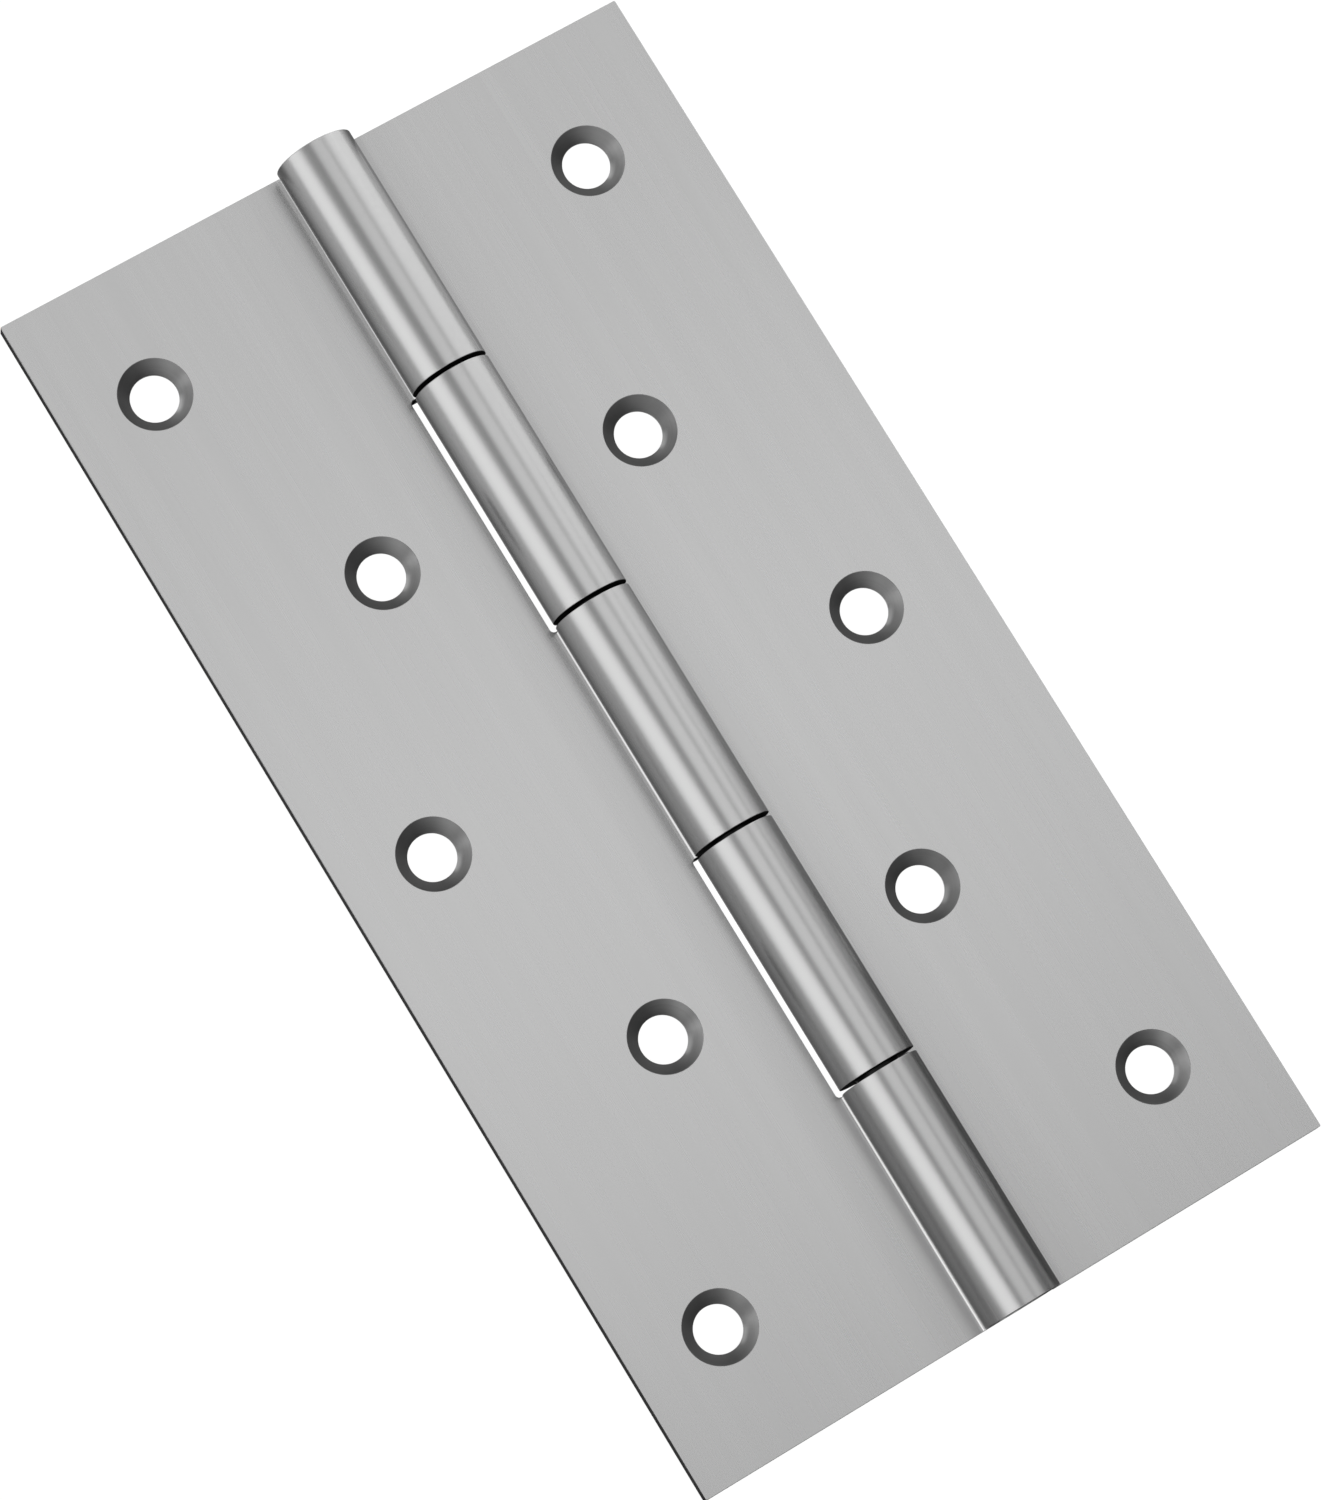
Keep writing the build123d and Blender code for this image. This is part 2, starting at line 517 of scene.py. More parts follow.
def fill_face(t, outline, centres, radius, height, back):
    """The flat face inside the outline, open at every screw hole."""
    edge = t.out("GeometryNodeMeshToCurve", outline, True)
    ring = t.out("GeometryNodeCurvePrimitiveCircle", HOLE_SIDES, radius, mode="RADIUS")
    curves = t.add("GeometryNodeJoinGeometry")
    t.set(curves.inputs[0], edge)
    t.set(curves.inputs[0], t.copies(centres, ring))
    face = t.out("GeometryNodeFillCurve", curves.outputs[0], mode="TRIANGLES")
    if back:
        face = t.out("GeometryNodeFlipFaces", face, True)
    return t.out("GeometryNodeTransform", face, t.xyz(0, 0, height))

# %% Turning a shape round an axis
def turn_about(t, mesh, centre, axis, angle, count, mode):
    """Pushes the growing edges or faces round an axis in small turns and leaves a skin behind."""
    domain = "EDGE" if mode == "EDGES" else "FACE"
    def one_turn(mesh, _):
        grown = t.add("GeometryNodeExtrudeMesh", mesh, t.named("growing"), None, 0.0, mode=mode)
        if mode == "FACES":
            t.set(grown.inputs["Individual"], False)
        place = t.out("ShaderNodeVectorRotate", t.position(), centre, axis, angle)
        moved = t.put(grown.outputs["Mesh"], grown.outputs["Top"], place)
        return t.mark(moved, "growing", grown.outputs["Top"], domain)
    return t.repeat(count, mesh, one_turn)

# %% One countersink as a turned profile
def countersink_profile(t, size, sheet, edge_break):
    """The corners from the upper rim down the cone, over the land and through the sheet."""
    fine = t.times(edge_break, 0.3)
    shallow = t.minus(sheet, t.times(edge_break, 0.12))
    deep = t.minus(sheet, t.times(edge_break, 0.8))
    rim, hole, land = size["Countersink radius"], size["Hole radius"], size["Land"]
    return [
        (t.plus(rim, edge_break), sheet),
        (t.plus(rim, fine), shallow),
        (t.minus(rim, fine), deep),
        (t.plus(hole, fine), t.plus(land, fine)),
        (hole, t.minus(land, fine)),
        (hole, edge_break),
        (t.plus(hole, fine), fine),
        (t.plus(hole, edge_break), 0.0),
    ]

def countersink(t, size, sheet, edge_break):
    """Cone, land and two rounded rims, turned about the hole's own axis."""
    corners = countersink_profile(t, size, sheet, edge_break)
    line = t.out("GeometryNodeMeshLine", len(corners), mode="OFFSET", count_mode="TOTAL")
    for number, (radius, height) in enumerate(corners):
        this = t.add("FunctionNodeCompare", t.out("GeometryNodeInputIndex"), None, data_type="INT",
                     operation="EQUAL")
        t.set([s for s in this.inputs if s.enabled][1], number)
        line = t.put(line, this.outputs[0], t.xyz(radius, 0, height))
    line = t.mark(line, "growing", True, "EDGE")
    skin = turn_about(t, line, (0, 0, 0), (0, 0, 1), 2 * pi / HOLE_SIDES, HOLE_SIDES, "EDGES")
    return t.mark(skin, "turned", True, "FACE")

# %% The flat plate, and caps on its tongues
def flat_plate(t, size):
    """The blank as a solid sheet with its countersinks, open only at the tongues' ends."""
    sheet, edge_break = size["Sheet"], size["Edge break"]
    blank = t.add("GeometryNodeSeparateGeometry", size["Geometry"], t.named("hole"), domain="POINT")
    centres, outline = blank.outputs[:2]
    outline = t.put(outline, True, offset=t.scaled(t.named("inset", "FLOAT_VECTOR"), edge_break))
    walls = raise_edge(t, outline, sheet, edge_break, size["Arc steps"])
    front_opening = t.plus(size["Countersink radius"], edge_break)
    back_opening = t.plus(size["Hole radius"], edge_break)
    front = fill_face(t, outline, centres, front_opening, sheet, back=False)
    back = fill_face(t, outline, centres, back_opening, 0.0, back=True)
    sinks = t.copies(centres, countersink(t, size, sheet, edge_break))
    return t.join(walls, front, back, sinks)

def cap_tongues(t, plate):
    """Closes the tongues' ends. They are the only open edges left: each has one face, not two."""
    is_open = t.below(t.out("GeometryNodeInputMeshEdgeNeighbors"), 1.5)
    loops = t.out("GeometryNodeMeshToCurve", plate, is_open)
    # A curve is filled in the flat, so the loops are laid down and their caps stood up again.
    laid = t.out("GeometryNodeTransform", loops, None, t.xyz(0, pi / 2, 0))
    caps = t.out("GeometryNodeFillCurve", laid, mode="NGONS")
    caps = t.out("GeometryNodeTransform", caps, None, t.xyz(0, -pi / 2, 0))
    whole = t.join(plate, t.mark(caps, "cap", True, "FACE"))
    return t.mark(whole, "growing", t.named("cap"), "FACE")

# %% The barrel's flared mouths
def radial(t, pin_line):
    """From the pin's axis to the point, square to the axis; and the place along the axis."""
    x, y, z = t.split(t.vector("SUBTRACT", t.position(), pin_line))
    return t.xyz(x, 0, z), y

def open_mouths(t, mesh, pin_line, size):
    """Opens the bore at the barrel's two ends, where the spun ends of the pin sit."""
    outwards, along = radial(t, pin_line)
    reach = t.vector("LENGTH", outwards)
    start = t.minus(size["Half length"], size["Flare"])
    past = t.larger(t.minus(t.unsigned(along), start), 0)
    wanted = t.plus(t.minus(size["Barrel radius"], size["Sheet"]), past)
    growth = t.larger(t.minus(wanted, reach), 0)
    outer_skin = 0.5 * MM
    in_bore = t.below(reach, t.minus(size["Barrel radius"], outer_skin))
    return t.put(mesh, in_bore, offset=t.scaled(t.vector("NORMALIZE", outwards), growth))

# %% Which faces the press sheared
LEVEL_FACE = 0.6  # a plate's face that looks up or down by less than this is one of its walls
ROUND_FACE = 0.9  # a barrel's face that looks along its radius by less than this is one of its ends

def sheared_faces(t, pin_line, size):
    """1 on the walls: upright ones on the plate, and on the barrel those not square to its radius."""
    outwards = radial(t, pin_line)[0]
    facing = t.unsigned(t.vector("DOT_PRODUCT", t.vector("NORMALIZE", outwards), t.normal()))
    x, _, z = t.split(t.position())
    own_side = t.times(x, t.math("SIGN", size["Curl"]))
    past_pin = t.below(own_side, -SAME / 10)
    over_sheet = t.above(z, t.plus(size["Sheet"], SAME))
    at_barrel = t.larger(past_pin, over_sheet)
    facing_up = t.unsigned(t.split(t.normal())[2])
    plate_wall = t.times(t.minus(1, at_barrel), t.below(facing_up, LEVEL_FACE))
    barrel_wall = t.times(at_barrel, t.below(facing, ROUND_FACE))
    return t.larger(plate_wall, barrel_wall)

# %% The whole leaf
def leaf_tree(sizes):
    t, size = new_geometry_tree("roll a leaf from its blank", sizes)
    whole = cap_tongues(t, flat_plate(t, size))
    turn = t.over(size["Curl"], size["Curl steps"])
    pin_line = t.xyz(0, 0, size["Axis height"])
    rolled = turn_about(t, whole, pin_line, (0, 1, 0), turn, size["Curl steps"], "FACES")
    rolled = open_mouths(t, rolled, pin_line, size)
    cut = sheared_faces(t, pin_line, size)
    finish_geometry_tree(t, rolled, [(brushed, True), (sheared, cut), (turned, t.named("turned"))])
    return t

def leaf_sizes(leaf):
    return {
        "Sheet": leaf["sheet"], "Edge break": EDGE_BREAK, "Arc steps": 3, "Axis height": axis_height,
        "Barrel radius": barrel_radius, "Curl": leaf["side"] * leaf["curl"], "Curl steps": 96,
        "Hole radius": leaf["hole"], "Countersink radius": leaf["countersink"], "Land": leaf["land"],
        "Flare": flare, "Half length": half_length,
    }

rolling = leaf_tree(leaf_sizes(leaves["frame_leaf"]))
pieces = {}
for node, leaf in leaves.items():
    pieces[node] = run_tree(node + "_sheet", blank_mesh(leaf), rolling, leaf_sizes(leaf))

# %% [markdown]
# ## The pin
# The pin is a drawn rod that goes through all five knuckles. Its two ends are spun over into the flared
# mouths of the barrel, so it can't slide out, and the spinning leaves them very slightly domed. It is the
# same turning rule as a countersink, so its outline is turned about the pin's axis by a second small tree.

# %% The pin's outline, from one end to the other
def pin_outline():
    """Points from the axis outwards, along the rod, and back to the axis."""
    dome, soft = 0.06 * MM, 0.15 * MM  # the height of the domed end, and its rounded rim
    end = [(pin_end_radius * part, half_length - dome * part ** 2) for part in (0, 0.3, 0.6, 0.85)]
    end += [(pin_end_radius - soft - 0.04 * MM, half_length - 0.1 * MM),
            (pin_end_radius - soft, half_length - soft), (pin_radius, half_length - flare)]
    other = [(reach, -along) for reach, along in end[::-1]]
    return end + other

def outline_mesh(points):
    mesh = bpy.data.meshes.new("outline")
    corners = [(reach, along, axis_height) for reach, along in points]
    mesh.from_pydata(corners, [(i, i + 1) for i in range(len(points) - 1)], [])
    growing = mesh.attributes.new("growing", "BOOLEAN", "EDGE")
    for edge in growing.data:
        edge.value = True
    return mesh

# %% The outline turned about the axis
def turning_tree(sizes, material):
    t, size = new_geometry_tree("turn an outline about the pin's axis", sizes)
    step = t.over(2 * pi, size["Steps"])
    line = t.xyz(0, 0, size["Axis height"])
    skin = turn_about(t, size["Geometry"], line, (0, 1, 0), step, size["Steps"], "EDGES")
    finish_geometry_tree(t, t.join(skin), [(material, True)])
    return t

pin_sizes = {"Steps": 96, "Axis height": axis_height}
turning = turning_tree(pin_sizes, drawn)
pieces["hinge_pin"] = run_tree("hinge_pin_rod", outline_mesh(pin_outline()), turning, pin_sizes)

# %% [markdown]
# ## Each piece rides on its body
# The frame leaf and the pin stand still together, and the door leaf swings on the pin. Each piece says
# which CAD node it stands for, where its finish comes from, and which body carries it.

# %% Bodies, slots and the nodes that the pieces stand for
riders = {"frame_leaf": ("frame_leaf", "satin_steel"), "door_leaf": ("door_leaf", "satin_steel"),
          "hinge_pin": ("frame_leaf", "pin_steel")}
for node, (body, slot) in riders.items():
    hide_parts(node)
    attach(pieces[node], body)

# %% [markdown]
# ## Brushed sheet steel
# A belt brushes the sheet along its length, which leaves hair-thin scratches of uneven depth. Steel is
# a metal, so its colour is the colour of its reflection. The scratches are noise that is stretched along
# the pin: they shift the colour a very little, the gloss a little more, and tilt the surface. A slower
# noise bends the lines here and there, as the grain of rolled sheet does. Noise on Object coordinates
# needs no unwrapping, and it turns with the leaf.

# %% Noise, soft steps and metal
def noise(t, place, per_metre, detail):
    """Noise with about this many bumps in a metre along X, Y and Z."""
    return t.add("ShaderNodeTexNoise", t.vector("MULTIPLY", place, per_metre), 1.0, detail)

def streaks(t, place, across, along, detail, bend=0.0):
    """Noise from 0 to 1 in lines along Y; across and along are how many lines there are in a metre."""
    if bend:
        slow = noise(t, place, (90, 22, 90), 1.0)
        sway = t.vector("SUBTRACT", slow.outputs["Color"], (0.5, 0.5, 0.5))
        place = t.vector("ADD", place, t.vector("MULTIPLY", sway, (bend, 0, bend)))
    return noise(t, place, (across, along, across), detail).outputs[0]

def ramp(t, value, low, high, at_low=0.0, at_high=1.0):
    """A soft step: at_low below low, at_high above high."""
    node = t.add("ShaderNodeMapRange", value, interpolation_type="SMOOTHSTEP")
    for label, number in zip(("From Min", "From Max", "To Min", "To Max"), (low, high, at_low, at_high)):
        t.set(node.inputs[label], number)
    return node.outputs[0]

def grey(t, value):
    return t.out("ShaderNodeCombineColor", value, value, value)

def metal(t, colour, roughness, height, depth, sheen_at_grazing=1.0):
    """Ends a material: metal with this colour, this roughness and this relief."""
    shader = t.add("ShaderNodeBsdfPrincipled")
    shader.inputs["Metallic"].default_value = 1.0
    shader.inputs["Specular Tint"].default_value = (sheen_at_grazing,) * 3 + (1.0,)
    t.set(shader.inputs["Base Color"], grey(t, colour))
    t.set(shader.inputs["Roughness"], roughness)
    bump = t.add("ShaderNodeBump")
    t.set(bump.inputs["Height"], height)
    bump.inputs["Strength"].default_value = 1.0
    bump.inputs["Distance"].default_value = depth
    t.set(shader.inputs["Normal"], bump.outputs[0])
    t.add("ShaderNodeOutputMaterial", shader.outputs[0])

def tell(material):
    print(material.name, "is made of", len(material.node_tree.nodes), "nodes")

# %% [markdown]
# ## The painted highlight at the root of a curl
# Where a curl of the frame leaf comes down to its own sheet, a thin bright line runs along the corner. It is a
# painted highlight, a reflection painted into the colour, on a strip that is also made smoother. It is picked by
# place alone, from X and Z, so that it stays with the leaf. It is widest at the lower end of the hinge and thins
# towards the upper end, so its width is worked out from Y. Picking by place has a price: the door leaf's knuckles
# pass through the same place and carry the strip too. It faces down when the hinge is open, and turns up when that
# leaf is folded right back. A brushed finish of its own for the door leaf would leave it off.

# %% A strip along the root
def painted_root_highlight_strip(t, x, y, z):
    """Where the painted highlight goes: 1 on the strip of sheet beside the curl, and on the barrel just above it.
    """
    sheet, beside_curl, under_curl = leaves["frame_leaf"]["sheet"], 4.2 * MM, 3.6 * MM
    width = t.minus(ramp(t, y, -half_length, -45 * MM, 0.31 * MM, 0.22 * MM),
                    ramp(t, y, -20 * MM, half_length, 0, 0.14 * MM))
    strip = t.below(t.minus(t.times(x, -1), beside_curl), width)
    on_curl = t.above(z, sheet + 0.03 * MM)
    top = t.plus(t.times(width, 2.2), sheet + 0.26 * MM)
    level = t.times(t.below(z, top), t.above(z, sheet - 0.1 * MM))
    inside = t.times(level, t.below(x, -under_curl))
    return t.times(t.larger(strip, on_curl), inside)

# %% [markdown]
# ## A leaf as the barrel mirrors it
# The sides of a bright barrel turn dark beside the leaves, most likely because a brushed leaf throws little of its
# light sideways. A plain rough metal spreads light more evenly, so the sides come out too pale. Dark bands painted
# on the barrel would turn with the knuckles and sit in the wrong place once the hinge is folded. So the painted
# shade goes on the leaf instead: the leaf is painted darker, but only where it is mirrored in another piece, and
# that paints a darker reflection into the barrel's sides.
# Light Path tells a mirrored ray from a direct one. A baked colour can't hold this, so nothing else here
# depends on it.

# %% How much painted shade a mirrored leaf gets
def painted_shade_when_mirrored(t, x, y):
    """Painted shade from 0 to 1 on the leaves when they are seen in a mirror, and 0 on the barrel and elsewhere.
    """
    left = ramp(t, t.times(x, -1), 6 * MM, 14 * MM, 0.60, 0.47)
    left = t.plus(left, ramp(t, y, -60 * MM, 60 * MM, 0.10, -0.07))
    right = ramp(t, y, -65 * MM, 60 * MM, 0.78, 0.16)
    right = t.larger(right, ramp(t, x, 9 * MM, 15 * MM, 0.46, 0))
    mirrored_shade = t.mix(t.below(x, 0), right, left)
    off_barrel = ramp(t, t.unsigned(x), 1.05 * barrel_radius, 1.3 * barrel_radius)
    mirrored = t.add("ShaderNodeLightPath").outputs["Is Glossy Ray"]
    return t.times(t.times(mirrored_shade, off_barrel), mirrored)

# %% [markdown]
# ## The brushed finish, put together
# Both leaves are painted a little darker in the corner beside the barrel, as painted shade where the barrel crowds
# the sheet. The barrel looks smoother than the leaves, so it keeps less than a third of the scratches. The painted
# highlight at the root of a curl goes on last, because it lies over the brushing, and it is smoother than the
# rest.

# %% The brushed finish
def build_brushed(material):
    steel, from_band, from_hair = 0.552, 0.03, 0.045
    dull, from_hair_dull, polished = 0.27, 0.06, 0.12
    t = Tree(material.node_tree)
    place = t.add("ShaderNodeTexCoord").outputs["Object"]
    x, y, z = t.split(place)
    away = t.unsigned(x)
    on_barrel = t.below(away, barrel_radius * 1.005)
    calm = t.minus(1, t.times(on_barrel, 0.7))
    hair = t.times(t.minus(streaks(t, place, 2600, 11, 3.0, bend=1.2 * MM), 0.5), calm)
    band = t.times(t.minus(streaks(t, place, 500, 7, 2.0, bend=1.2 * MM), 0.5), calm)
    colour = t.plus(steel, t.times(band, from_band))
    colour = t.plus(colour, t.times(hair, from_hair))
    # Painted shade: the sheet grows darker towards the barrel.
    corner = ramp(t, away, 1.1 * barrel_radius, 2.6 * barrel_radius, 0.93, 1.0)
    corner = t.times(corner, ramp(t, away, 5.2 * MM, 6.8 * MM, 0.86, 1.0))
    colour = t.times(colour, t.larger(corner, on_barrel))
    # Painted shade: the leaves are darker where another piece mirrors them.
    colour = t.times(colour, t.minus(1, painted_shade_when_mirrored(t, x, y)))
    # Painted highlight: a bright line at the root of the frame leaf's curls. It is also given a smoother
    # roughness.
    painted_root_highlight = painted_root_highlight_strip(t, x, y, z)
    highlight_colour = ramp(t, y, -half_length, 0, 0.90, 0.78)
    colour = t.mix(painted_root_highlight, colour, highlight_colour)
    roughness = t.mix(painted_root_highlight, t.plus(dull, t.times(hair, from_hair_dull)), polished)
    metal(t, colour, roughness, hair, 0.0007 * MM)
    tell(material)

build_brushed(brushed)

# %% [markdown]
# ## Sheared edges
# Where the press cuts the sheet, the edge is torn rather than ground. It is dull, darker than the brushed faces
# and scored through the sheet's thickness. Handling rubs the very corner of such an edge bright, so the rounding
# gets some of the brushed steel's shine back. The rims between two knuckles face each other across a narrow gap,
# and painted shade makes them nearly black. The roundings at the barrel's two outer ends get the same painted
# shade as a thin dark line. The barrel's two outer end faces are painted lighter. The way in which a face points
# tells these places apart, so one finish serves every edge.

# %% The sheared finish
def build_sheared(material):
    torn, from_scores, from_wear = 0.16, 0.09, 0.26
    t = Tree(material.node_tree)
    coordinates = t.add("ShaderNodeTexCoord")
    place = coordinates.outputs["Object"]
    scores = noise(t, place, (3200, 3200, 500), 3.0).outputs[0]
    patches = noise(t, place, (700, 700, 1500), 2.0).outputs[0]
    facing_y, facing_z = t.split(coordinates.outputs["Normal"])[1:]
    endways = t.unsigned(facing_y)
    rounding = t.times(t.below(endways, 0.96), t.above(t.unsigned(facing_z), 0.1))
    worn = t.times(rounding, ramp(t, patches, 0.35, 0.7, 0.25, 1.0))
    colour = t.plus(torn, t.times(t.minus(scores, 0.5), from_scores))
    colour = t.plus(colour, t.times(worn, from_wear))
    outer = ramp(t, t.unsigned(t.split(place)[1]), half_length - 1.5 * MM, half_length - MM)
    end_face = t.times(outer, ramp(t, endways, 0.94, 0.99))
    # Painted shade: rims across a gap, and the roundings at the outer ends, are darkened nearly to black.
    shade = t.times(ramp(t, endways, 0.4, 0.85), t.minus(1, end_face))
    colour = t.times(colour, t.minus(1, t.times(shade, 0.8)))
    # Painted light: the barrel's two outer end faces are made lighter.
    colour = t.plus(colour, t.times(end_face, 0.12))
    roughness = t.plus(0.45, t.times(patches, 0.2))
    roughness = t.minus(roughness, t.times(worn, 0.2))
    metal(t, colour, roughness, scores, 0.01 * MM, sheen_at_grazing=0.2)
    tell(material)

build_sheared(sheared)

# %% [markdown]
# ## Countersinks
# The countersinks are cut after brushing by a turning tool, so fine rings run round each cone. All the
# cones stand upright, and a ring on an upright cone is a line of equal height. So noise that changes fast
# with height and slowly with the other two draws every ring, with no need to know the ten centres.
# A turned cone looks darker on one side than on the other, because each side mirrors another part of the room. A
# plain rough metal evens that out, so that shade is painted into the colour and follows the way in which the cone
# faces: painted shade where it faces +X and where it faces -Y, lighter where it faces -X, with one small painted
# highlight low down.

# %% The countersunk finish
def build_turned(material):
    t = Tree(material.node_tree)
    coordinates = t.add("ShaderNodeTexCoord")
    place = coordinates.outputs["Object"]
    rings = noise(t, place, (60, 60, 9000), 2.0).outputs[0]
    facing_x, facing_y = t.split(coordinates.outputs["Normal"])[:2]
    # Painted shade and light: the colour follows the way in which the cone faces.
    colour = ramp(t, t.times(facing_x, -1), -0.15, 0.7, 0.19, 0.56)
    colour = t.times(colour, ramp(t, t.times(facing_y, -1), 0.2, 0.7, 1.0, 0.5))
    # Painted highlight: a small light spot low on the cone, where it faces -X and +Y.
    towards_painted_glint = t.plus(t.times(facing_x, -0.743), t.times(facing_y, 0.669))
    deep = ramp(t, t.split(place)[2], 0.5 * MM, 1.1 * MM, 1, 0)
    painted_glint = t.times(ramp(t, towards_painted_glint, 0.68, 0.76), deep)
    colour = t.mix(painted_glint, colour, 0.88)
    colour = t.times(colour, t.plus(0.9, t.times(rings, 0.2)))
    roughness = t.plus(0.30, t.times(rings, 0.1))
    metal(t, colour, roughness, rings, 0.001 * MM)
    tell(material)

build_turned(turned)

# %% [markdown]
# ## The drawn pin
# Rod is pulled through a die, which leaves long faint lines and a plain dull shine. The spun ends carry rings
# round the axis instead. The distance from the axis draws those, and the end faces pick them by the way in which
# they point. Between its ends the rod shows only in the narrow gaps between knuckles, which look black, so there
# it gets painted shade that makes its colour nearly black.

# %% The drawn finish
def build_drawn(material):
    t = Tree(material.node_tree)
    coordinates = t.add("ShaderNodeTexCoord")
    place = coordinates.outputs["Object"]
    lines = streaks(t, place, 3000, 40, 2.0)
    from_line = t.vector("MULTIPLY", t.vector("SUBTRACT", place, (0, 0, axis_height)), (1, 0, 1))
    ring_place = t.xyz(t.times(t.vector("LENGTH", from_line), 6000), 0, 0)
    rings = t.out("ShaderNodeTexNoise", ring_place, 1.0, 2.0)
    endways = t.unsigned(t.split(coordinates.outputs["Normal"])[1])
    marks = t.mix(ramp(t, endways, 0.85, 0.97), lines, rings)
    along = t.unsigned(t.split(place)[1])
    # Painted shade: the rod is nearly black between its ends, where it shows only in the gaps.
    gap_shade_level = ramp(t, along, half_length - 1.5 * MM, half_length - MM, 0.03, 0.5)
    colour = t.times(gap_shade_level, t.plus(0.85, t.times(marks, 0.3)))
    roughness = t.plus(0.28, t.times(marks, 0.1))
    metal(t, colour, roughness, marks, 0.004 * MM)
    tell(material)

build_drawn(drawn)

# %% [markdown]
# ## The paper floor
# The hinge lies above a sheet of white paper. Lighting paper until it turns white would burn out the
# steel, so the white is made in the paper's own material, from a little glow that only some rays see. The
# rest of it is real paper, which keeps the hinge's shadow. The camera sees it white all over. The steel
# sees it half as bright under the hinge, nearly dark in a ring round it, and grey farther off, which is
# what a studio does with black cards. The countersinks, the edges and the barrel's ends need those darks.

# %% A floor that looks white
def paper_level(t, place, is_camera):
    """How brightly the paper glows: 1 for the camera, less for the steel. Places are in metres."""
    far = t.vector("LENGTH", place)
    outside = ramp(t, t.split(place)[1], -0.05, 0.25, 0.14, 0.50)
    outside = t.times(ramp(t, far, 0.15, 0.25), outside)
    level = t.plus(ramp(t, far, 0.085, 0.125, 0.5, 0.06), outside)
    return t.larger(level, is_camera)

def build_paper(material):
    t = Tree(material.node_tree)
    paper = t.out("ShaderNodeBsdfDiffuse", (0.8, 0.8, 0.8, 1))
    place = t.add("ShaderNodeTexCoord").outputs["Object"]
    ray = t.add("ShaderNodeLightPath").outputs
    white = t.out("ShaderNodeEmission", grey(t, paper_level(t, place, ray["Is Camera Ray"])), 1.12)
    seen = t.larger(t.larger(ray["Is Camera Ray"], ray["Is Glossy Ray"]), ray["Is Transmission Ray"])
    mixed = t.out("ShaderNodeMixShader", t.times(seen, 0.85), paper, white)
    t.add("ShaderNodeOutputMaterial", mixed)
    tell(material)

def lay_floor(half_side, drop):
    """A square of paper, level, this far under the hinge."""
    z = cad_box[0].z - drop
    corners = [(-half_side, -half_side, z), (half_side, -half_side, z),
               (half_side, half_side, z), (-half_side, half_side, z)]
    mesh = bpy.data.meshes.new("paper_floor")
    mesh.from_pydata(corners, [], [(0, 1, 2, 3)])
    floor = bpy.data.objects.new("paper_floor", mesh)
    bpy.context.scene.collection.objects.link(floor)
    material = new_finish("white_paper")
    build_paper(material)
    mesh.materials.append(material)

lay_floor(half_side=8.0, drop=60 * MM)

# %% [markdown]
# ## Soft lights for a polished barrel
# A flat leaf shows one patch of the studio, but the round barrel shows all of it, from the left horizon
# over the ceiling to the right one. So the lights are large soft panels that lie round the pin, and the
# dark gaps between them become the dark lines along the barrel. Each panel is placed by its turn about
# the pin, in degrees up from +X, and by how far it leans along the pin. Area lamps are used, because a
# metal mirrors their shape.

# %% One soft panel
PANEL_DISTANCE = 1.5  # metres from the hinge to every panel

def panel(name, turn, along, width, length, level, lean=0):
    """A lamp panel that faces the hinge; width is in degrees and level is its plain brightness."""
    flat = sqrt(1 - along * along)
    away = Vector((cos(radians(turn)) * flat, along, sin(radians(turn)) * flat))
    up = (Vector((0, 1, 0)) - away * away.y).normalized()
    data = bpy.data.lights.new(name, "AREA")
    data.shape = "RECTANGLE"
    data.size = 2 * PANEL_DISTANCE * tan(radians(width) / 2)
    data.size_y = length * PANEL_DISTANCE
    data.normalize = False
    data.energy = pi * level
    lamp = bpy.data.objects.new(name, data)
    bpy.context.scene.collection.objects.link(lamp)
    axes = Matrix((up.cross(away), up, away)).transposed().to_4x4()
    tilt = Matrix.Rotation(radians(lean), 4, "Z")
    lamp.matrix_world = Matrix.Translation(away * PANEL_DISTANCE) @ axes @ tilt
    print(f"{name}: {data.size:.2f} by {data.size_y:.2f} m")

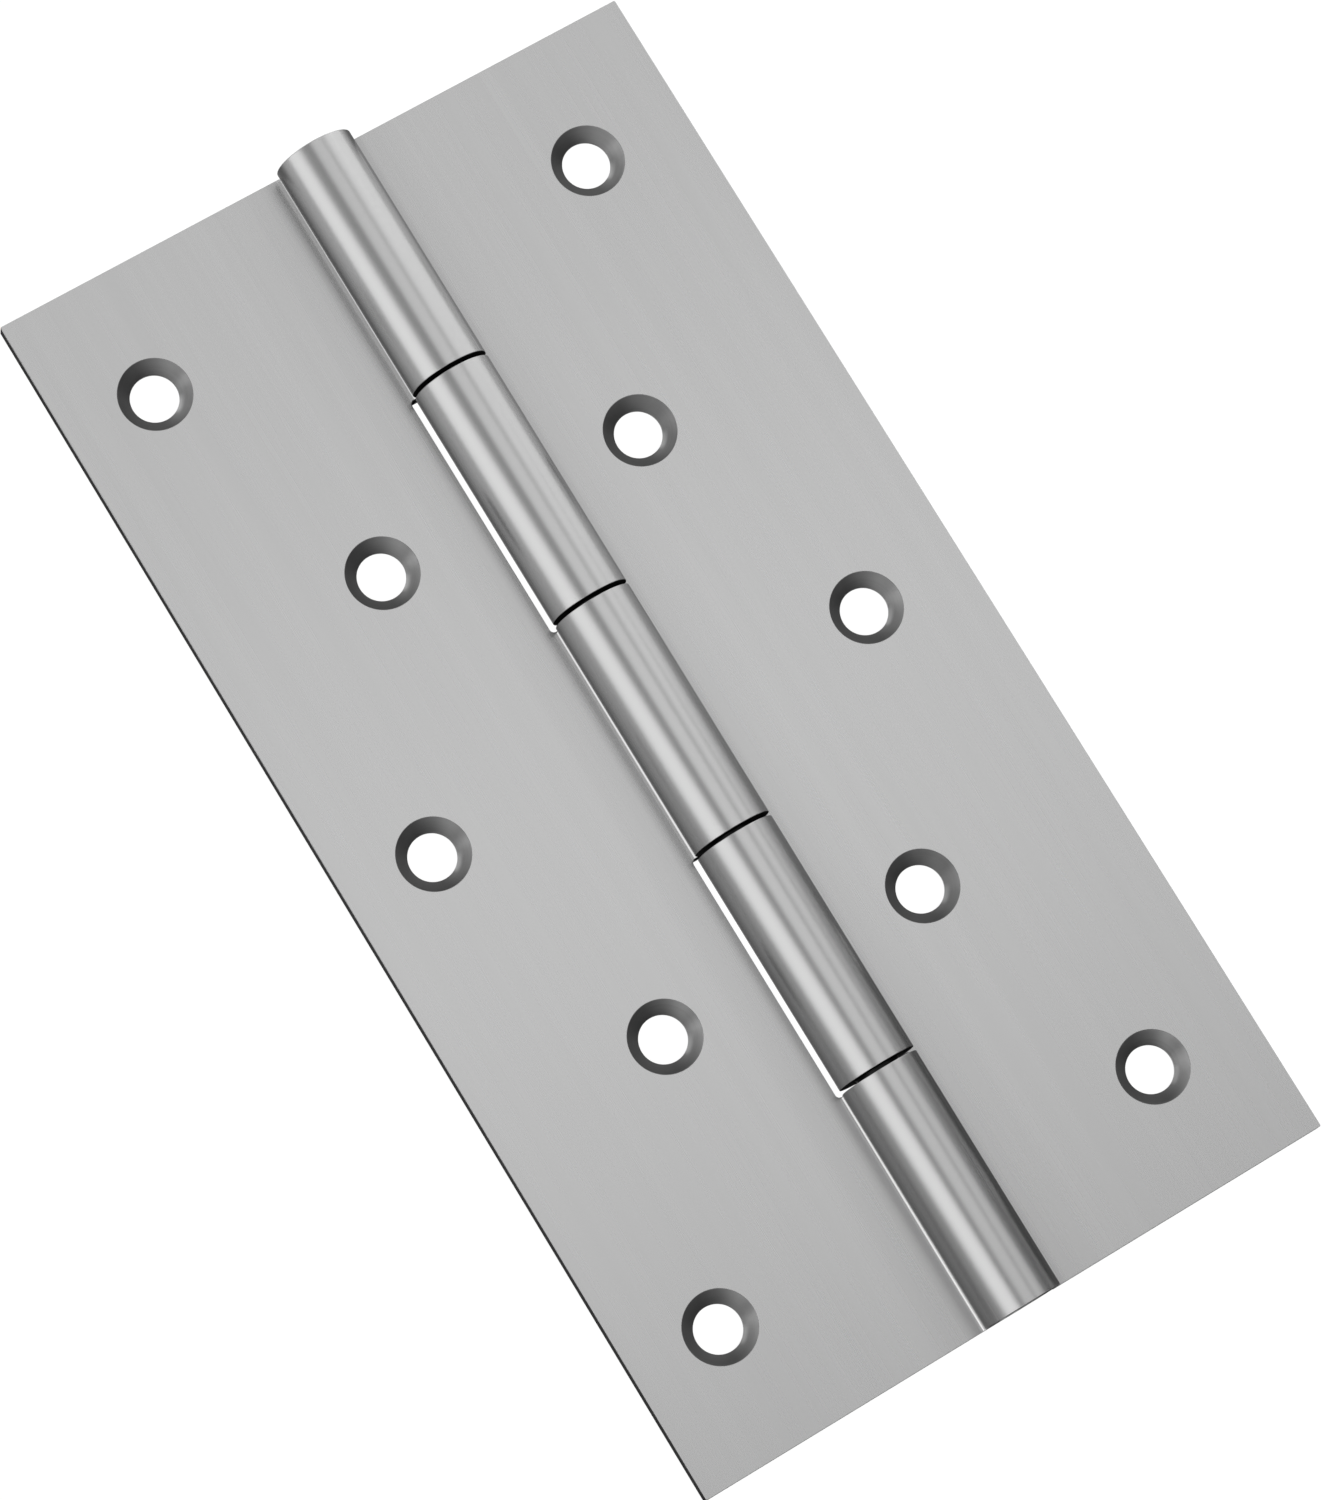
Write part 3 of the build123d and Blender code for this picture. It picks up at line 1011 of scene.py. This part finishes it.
# %% The six panels
panel("ceiling", turn=80, along=0.23, width=32, length=0.74, level=0.55)
panel("ceiling_middle", turn=80.5, along=0.125, width=33, length=0.15, level=0.27)
panel("ceiling_right", turn=45, along=0.28, width=28, length=1.05, level=0.56)
panel("right_high", turn=41, along=0.41, width=20, length=0.74, level=0.33)
panel("right_low", turn=14, along=0.44, width=36, length=0.74, level=1.0, lean=12)
panel("left", turn=141, along=0.128, width=30.5, length=1.24, level=1.0, lean=53)

# %% [markdown]
# ## The room round the panels
# Whatever the steel mirrors between the panels is the room. A white room would fill the dark lines, so
# the steel sees a grey one: darker on the right, a touch lighter low on the left, and lighter past both
# ends of the pin and in front, where the barrel's ends and the sheared edges look. The camera sees plain
# white, so that the background joins the paper with no edge. Soft steps keep every change out of sight.

# %% A grey room that the camera sees white
def build_room():
    world = bpy.data.worlds.new("studio")
    bpy.context.scene.world = world
    world.use_nodes = True
    world.node_tree.nodes.clear()
    t = Tree(world.node_tree)
    # For a world, Generated is the direction in which it is seen, and each part runs from -1 to 1.
    x, y, z = t.split(t.add("ShaderNodeTexCoord").outputs["Generated"])
    to_end = ramp(t, t.unsigned(y), 0.45, 0.75)
    across = t.minus(1, to_end)
    right = t.times(ramp(t, x, 0.45, 0.9), across)
    right = t.times(right, ramp(t, y, 0.0, 0.15, 0.26, 0.16))
    low = t.times(ramp(t, z, 0.1, 0.3, 1, 0), across)
    low_left = t.times(ramp(t, x, -0.9, -0.5, 1, 0), low)
    low_left = t.times(low_left, ramp(t, y, 0.0, 0.22, -0.06, 0.17))
    front = t.times(ramp(t, y, -0.45, -0.12, 1, 0), across)
    level = t.plus(t.minus(0.32, right), low_left)
    level = t.plus(level, t.times(to_end, 0.5))
    level = t.plus(level, t.times(front, 0.3))
    level = t.larger(level, t.add("ShaderNodeLightPath").outputs["Is Camera Ray"])
    t.add("ShaderNodeOutputWorld", t.out("ShaderNodeBackground", grey(t, level), 1.0))
    print("the room is made of", len(world.node_tree.nodes), "nodes")

build_room()
bpy.context.scene.view_settings.view_transform = "Standard"

# %% [markdown]
# ## The end
# The finer barrel reaches its true top, which the CAD's flat facets just miss.

# %% The end
import json

bpy.context.view_layer.update()
